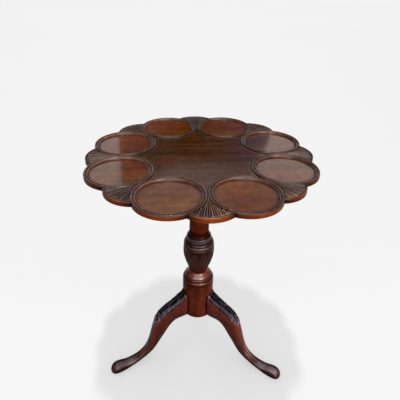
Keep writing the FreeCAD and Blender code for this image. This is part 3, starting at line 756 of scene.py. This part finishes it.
def fan(place):
    """One carved fan between two wells"""
    rows, columns = 45, 181
    angle = np.linspace(-FAN_HALF, FAN_HALF, columns)[None, :]
    share = np.linspace(0, 1, rows)[:, None]
    turn = (angle / FAN_HALF + 1) / 2 * FAN_FLUTES
    reach, outside = fan_reach(angle, share)
    relief = fan_relief(reach, outside, turn)
    spin = place * PITCH
    along = FAN_POINT + reach * np.cos(angle)
    side = reach * np.sin(angle)
    x = along * math.cos(spin) - side * math.sin(spin)
    y = along * math.sin(spin) + side * math.cos(spin)
    outer = np.stack([x, y, FIELD + FAN_LIFT + FAN_RELIEF * relief], axis=2)
    inner = np.stack([x, y, np.full_like(x, FIELD - FAN_LIFT)], axis=2)
    rib_wear_and_highlight = RIB_EVEN + RIB_UNEVEN * np.cos(np.floor(turn + 0.5) * RIB_TURN + place)
    highlight_patch = soft_step(x, *FRONT_FAN_RIGHT) * soft_step(-y, *FRONT_FAN_NEAR)
    # The crests' tone: wear with a painted highlight, stronger on the right half of the front fan
    worn = relief * rib_wear_and_highlight * (FAN_WEAR_AND_HIGHLIGHT + FRONT_FAN_HIGHLIGHT * highlight_patch)
    grid_piece(f"fan_{place + 1}", outer[:, ::-1], inner[:, ::-1], worn[:, ::-1], fan_wood,
               "top")


def urn_profile():
    """Heights and radii of the turned urn under the leaves"""
    points = np.empty(len(nodes["column"].data.vertices) * 3)
    nodes["column"].data.vertices.foreach_get("co", points)
    x, y, z = points.reshape(-1, 3).T
    radius = np.hypot(x, y)
    near = (z > URN_LOW - URN_MARGIN) & (z < URN_HIGH + URN_MARGIN) & (radius > URN_LEAST)
    order = np.argsort(z[near])
    heights, first = np.unique(np.round(z[near][order], 5), return_index=True)
    return heights, np.maximum.reduceat(radius[near][order], first)


def leaf_relief(height, turn):
    """The relief of the urn's leaves: raised borders, midribs and fine flutes, under a plain band"""
    width = LEAF_HALF * np.sqrt(np.clip(1 - (height / LEAF_TIP) ** 5, 0, 1)) + 1e-6
    inward = 1 - np.abs(turn) / width
    border = ridge(inward, 0.10, 0.07)
    midrib = ridge(turn, 0, 0.045)
    flutes = 0.35 + 0.25 * np.cos(turn * 6 * math.tau)
    leaf = np.maximum(np.maximum(flutes, 0.95 * border), 0.8 * midrib)
    ground = np.full_like(leaf, 0.1)
    return np.clip(np.where(inward > 0, leaf, ground) + 0.5 * soft_step(height, 0.93, 0.95), 0, 1)


def urn_leaves():
    """A ring of upright leaves round the urn"""
    rows, columns = 80, 720
    height = np.linspace(0, 1, rows)[:, None]
    angle = np.linspace(0, math.tau, columns, endpoint=False)[None, :]
    level = URN_LOW + (URN_HIGH - URN_LOW) * height + 0 * angle
    turned = np.interp(level, *urn_profile())
    relief = leaf_relief(height, (angle / math.tau * LEAVES) % 1 - 0.5)
    carved = turned + CARVING_LIFT + LEAF_RELIEF * relief
    sunk = turned - CARVING_SINK
    outer = np.stack([carved * np.cos(angle), carved * np.sin(angle), level], axis=2)
    inner = np.stack([sunk * np.cos(angle), sunk * np.sin(angle), level], axis=2)
    grid_piece("urn_leaves", outer, inner, relief, leaf_wood, "base", around=True)


def knee_relief(share, across):
    """The height of the knee carving: veined lobes that curl off a stem, in a border that ends in a lip"""
    side = abs(across)
    phase = 5 * share + 0.3 * math.sin(9 * share + 2 * across) - 0.9 * side
    lobe = abs(math.sin(math.pi * phase)) ** 0.7
    veins = 0.5 + 0.5 * math.cos(math.tau * (2.5 * phase + 1.5 * across))
    stem = ridge(across, 0, 0.1) * (0.55 + 0.4 * math.cos(math.tau * 4.3 * share))
    border = ridge(side, 0.9, 0.05) * (0.62 + 0.38 * ridge(share, 0.62, 0.2))
    lip = ridge(share, 0.95, 0.045)
    leaf = 0.15 + lobe * (0.30 + 0.45 * veins)
    start = min(1, share / 0.06)
    return start * min(1, max(0, leaf, stem, border, lip))


def knee_line(share):
    """A point inside a leg, the way from it to the knee's surface, and half the carving's width there"""
    steps = np.linspace(0, 1, len(KNEE_HEART))
    out, up = (np.interp(share, steps, axis) for axis in zip(*KNEE_HEART))
    way_out, way_up = (np.interp(share, steps, axis) for axis in zip(*KNEE_AIM))
    tip = 1 - 0.75 * max(0, (share - KNEE_TIP) / (1 - KNEE_TIP)) ** 1.5
    return out, up, way_out, way_up, np.interp(share, steps, KNEE_HALF) * tip


def knee_carving(name):
    """Leaf carving over the knee of a leg, from the drum to a pointed lip"""
    tree = BVHTree.FromObject(nodes[name], bpy.context.evaluated_depsgraph_get())
    spin = Matrix.Rotation(math.radians(LEG_ANGLES[name]), 3, "Z")
    rows, columns = 90, 41
    outer = np.zeros((rows, columns, 3))
    inner = np.zeros((rows, columns, 3))
    relief = np.zeros((rows, columns))
    for row in range(rows):
        share = row / (rows - 1)
        out, up, way_out, way_up, wide = knee_line(share)
        # The crests' tone: wear with painted glints, strongest near the knee's lower end
        wear_and_glint = KNEE_EVEN + KNEE_GLINT[name] * ridge(share, *KNEE_GLINT_PLACE)
        ray = spin @ Vector((-way_out, 0, -way_up)).normalized()
        for column in range(columns):
            across = 2 * column / (columns - 1) - 1
            start = spin @ Vector((out + way_out * KNEE_START, across * wide, up + way_up * KNEE_START))
            place, normal, _, _ = tree.ray_cast(start, ray, KNEE_REACH)
            height = knee_relief(share, across)
            relief[row, column] = height * wear_and_glint
            outer[row, column] = place + normal * (CARVING_LIFT + KNEE_RELIEF * height)
            inner[row, column] = place - normal * CARVING_SINK
    grid_piece(name + "_knee", outer, inner, relief, knee_wood, "base")


top_board()
for place in range(WELLS):
    fan(place)
urn_leaves()
for name in LEG_ANGLES:
    knee_carving(name)


# Stage: pale floor, light all round, from above and from the front, and cards that only the polish reflects,
# dark ones and a glowing window in front

# The floor glows more where the lamp above reaches it less, from the front to the back
FLOOR_TONES = [
    (0.0, grey(0.706)), (0.27, grey(0.687)), (0.92, grey(0.678)), (1.6, grey(0.672)), (3.0, grey(0.686)),
    (6.0, grey(0.730)), (10.0, grey(0.777)), (20.0, grey(0.812)),
]
# Soft shadow where the feet touch the floor
CONTACT_TONES = [(0.2, grey(0.74)), (1.0, grey(1.0))]
# Back card: dark with a bluish side, and a grey patch above a slope
BACK_SIDES = (-0.6, 1.0)
BACK_LOWER = [
    (0.0, grey(0.10)), (0.25, grey(0.07)), (0.45, grey(0.0)), (0.65, (0.04, 0.04, 0.05)),
    (1.0, (0.07, 0.12, 0.30)),
]
BACK_UPPER = [(0.0, grey(0.4)), (0.3, grey(0.5)), (0.6, grey(0.45)), (0.8, grey(0.32))]
BACK_SLOPE = 0.45
BACK_LEVELS = (2.16, 2.28)
# Front card: a wide bright window, brightest where the lamp is
FRONT_ACROSS = [
    (-3.4, grey(0.0)), (-2.6, grey(4.0)), (0.5, grey(5.0)), (0.9, grey(7.0)), (1.3, grey(7.0)),
    (1.7, grey(5.0)), (3.0, grey(4.0)), (4.2, grey(0.0)),
]
FRONT_UPRIGHT = [(0.6, grey(0.02)), (0.9, grey(1.0)), (4.4, grey(1.0)), (5.0, grey(0.02))]
# Side cards: dark and bluish, a little lighter above
SIDE_TONES = [(0.0, (0.02, 0.02, 0.03)), (7.0, (0.06, 0.06, 0.09))]


def shown_rays(tree):
    """1 where the stage is seen directly, in a polish or through glass, 0 where it only gives light"""
    path = tree.nodes.new("ShaderNodeLightPath")
    first = calc(tree, "MAXIMUM", path.outputs["Is Camera Ray"], path.outputs["Is Glossy Ray"])
    return calc(tree, "MAXIMUM", first, path.outputs["Is Transmission Ray"])


def oblong(left, right, low, high):
    """The corners of an oblong"""
    return [(left, low), (right, low), (right, high), (left, high)]


def plane(name, corners):
    """A flat staged panel through its corners"""
    mesh = bpy.data.meshes.new(name)
    mesh.from_pydata(corners, [], [tuple(range(len(corners)))])
    panel = bpy.data.objects.new(name, mesh)
    bpy.context.scene.collection.objects.link(panel)
    return panel


def studio_floor():
    """A wide floor that looks evenly pale and keeps a light shadow of the table"""
    material, tree, output = new_material("studio_floor")
    surface = tree.nodes.new("ShaderNodeBsdfDiffuse")
    surface.inputs["Color"].default_value = (*grey(FLOOR_SHADE), 1)
    contact = tree.nodes.new("ShaderNodeAmbientOcclusion")
    contact.samples = CONTACT_SAMPLES
    contact.inputs["Distance"].default_value = CONTACT_REACH
    pale = mixed(tree, "MULTIPLY", 1.0, tones(tree, spot(tree)[1], FLOOR_TONES),
                 ramp(tree, contact.outputs["AO"], CONTACT_TONES))
    glow = tree.nodes.new("ShaderNodeEmission")
    tree.links.new(pale, glow.inputs["Color"])
    tree.links.new(shown_rays(tree), glow.inputs["Strength"])
    both = tree.nodes.new("ShaderNodeAddShader")
    tree.links.new(surface.outputs[0], both.inputs[0])
    tree.links.new(glow.outputs[0], both.inputs[1])
    tree.links.new(both.outputs[0], output.inputs["Surface"])
    corners = oblong(-FLOOR_HALF, FLOOR_HALF, -FLOOR_HALF, FLOOR_HALF)
    panel = plane("studio_floor", [(x, y, 0) for x, y in corners])
    panel.data.materials.append(material)
    return panel


def card(name, corners, shades):
    """A card that only the polish shows, with shades over its two ways"""
    material, tree, output = new_material(name)
    x, _, z = spot(tree)
    glow = tree.nodes.new("ShaderNodeEmission")
    tree.links.new(shades(tree, x, z), glow.inputs["Color"])
    tree.links.new(glow.outputs[0], output.inputs["Surface"])
    panel = plane(name, corners)
    panel.data.materials.append(material)
    panel.visible_camera = False
    panel.visible_diffuse = False
    panel.visible_shadow = False
    panel.visible_transmission = False


def back_shades(tree, x, z):
    """Shades of the back card"""
    side = spread(tree, x, 0, 1, *BACK_SIDES)
    slope = calc(tree, "MULTIPLY", calc(tree, "MINIMUM", x, 0.0), BACK_SLOPE)
    above = spread(tree, calc(tree, "ADD", z, slope), 0, 1, *BACK_LEVELS)
    return mixed(tree, "MIX", above, ramp(tree, side, BACK_LOWER), ramp(tree, side, BACK_UPPER))


def front_shades(tree, x, z):
    """Shades of the front card"""
    return mixed(tree, "MULTIPLY", 1.0, tones(tree, x, FRONT_ACROSS), tones(tree, z, FRONT_UPRIGHT))


def side_shades(tree, _, z):
    """Shades of the side cards, which change only with the height"""
    return tones(tree, z, SIDE_TONES)


def cards():
    """Dark cards at the sides of the table and behind it, and a glowing one in front of it, all seen only in
    the polish
    """
    for name, x in (("left_card", -CARD_SIDE), ("right_card", CARD_SIDE)):
        corners = oblong(CARD_FRONT, SIDE_CARD_BACK, SIDE_CARD_FOOT, CARD_TOP)
        card(name, [(x, y, z) for y, z in corners], side_shades)
    card("back_card", [(x, BACK_CARD_PLACE, z) for x, z in BACK_OUTLINE], back_shades)
    corners = oblong(-FRONT_CARD_HALF, FRONT_CARD_HALF, FRONT_CARD_FOOT, CARD_TOP)
    card("front_card", [(x, CARD_FRONT, z) for x, z in corners], front_shades)


def even_light():
    """Even light from all round, with a pale backdrop"""
    world = bpy.data.worlds.new("studio")
    bpy.context.scene.world = world
    world.use_nodes = True
    tree = world.node_tree
    tree.nodes.clear()
    both = tree.nodes.new("ShaderNodeMixShader")
    tree.links.new(shown_rays(tree), both.inputs[0])
    for socket, strength in ((1, AROUND_STRENGTH), (2, BACKDROP_STRENGTH)):
        light = tree.nodes.new("ShaderNodeBackground")
        light.inputs["Strength"].default_value = strength
        light.inputs["Color"].default_value = (1, 1, 1, 1)
        tree.links.new(light.outputs[0], both.inputs[socket])
    output = tree.nodes.new("ShaderNodeOutputWorld")
    tree.links.new(both.outputs[0], output.inputs["Surface"])


def strip_light():
    """A small lamp above the table"""
    strip = bpy.data.lights.new("strip", "AREA")
    strip.shape = "RECTANGLE"
    strip.size, strip.size_y = STRIP_SIZE
    strip.energy = STRIP_POWER
    above = bpy.data.objects.new("strip", strip)
    above.location = (0, STRIP_BACK, STRIP_HEIGHT)
    bpy.context.scene.collection.objects.link(above)


def front_light(floor):
    """A soft lamp in front that leaves the floor out"""
    sun = bpy.data.lights.new("front", "SUN")
    sun.energy = FRONT_POWER
    sun.angle = FRONT_WIDTH
    front = bpy.data.objects.new("front", sun)
    flat = math.cos(FRONT_RISE)
    towards = Vector((math.cos(FRONT_TURN) * flat, math.sin(FRONT_TURN) * flat, math.sin(FRONT_RISE)))
    front.rotation_euler = towards.to_track_quat("Z", "Y").to_euler()
    bpy.context.scene.collection.objects.link(front)
    unlit = bpy.data.collections.new("unlit")
    unlit.objects.link(floor)
    unlit.collection_objects[0].light_linking.link_state = "EXCLUDE"
    front.light_linking.receiver_collection = unlit


def camera():
    """The view from the front, a little above the top"""
    flat = math.cos(EYE_FALL)
    ahead = Vector((math.cos(EYE_TURN) * flat, math.sin(EYE_TURN) * flat, -math.sin(EYE_FALL)))
    right = ahead.cross(Vector((0, 0, 1))).normalized()
    up = right.cross(ahead)
    side = right * math.cos(EYE_ROLL) + up * math.sin(EYE_ROLL)
    top = up * math.cos(EYE_ROLL) - right * math.sin(EYE_ROLL)
    lens = bpy.data.cameras.new("camera")
    lens.lens = LENS
    lens.sensor_width = SENSOR
    lens.shift_y = LENS_SHIFT
    eye = bpy.data.objects.new("camera", lens)
    turned = Matrix((side, top, -ahead)).transposed().to_4x4()
    eye.matrix_world = Matrix.Translation(EYE) @ turned
    bpy.context.scene.collection.objects.link(eye)
    bpy.context.scene.camera = eye


ground = studio_floor()
cards()
even_light()
strip_light()
front_light(ground)
camera()
bpy.context.scene.view_settings.view_transform = "Standard"
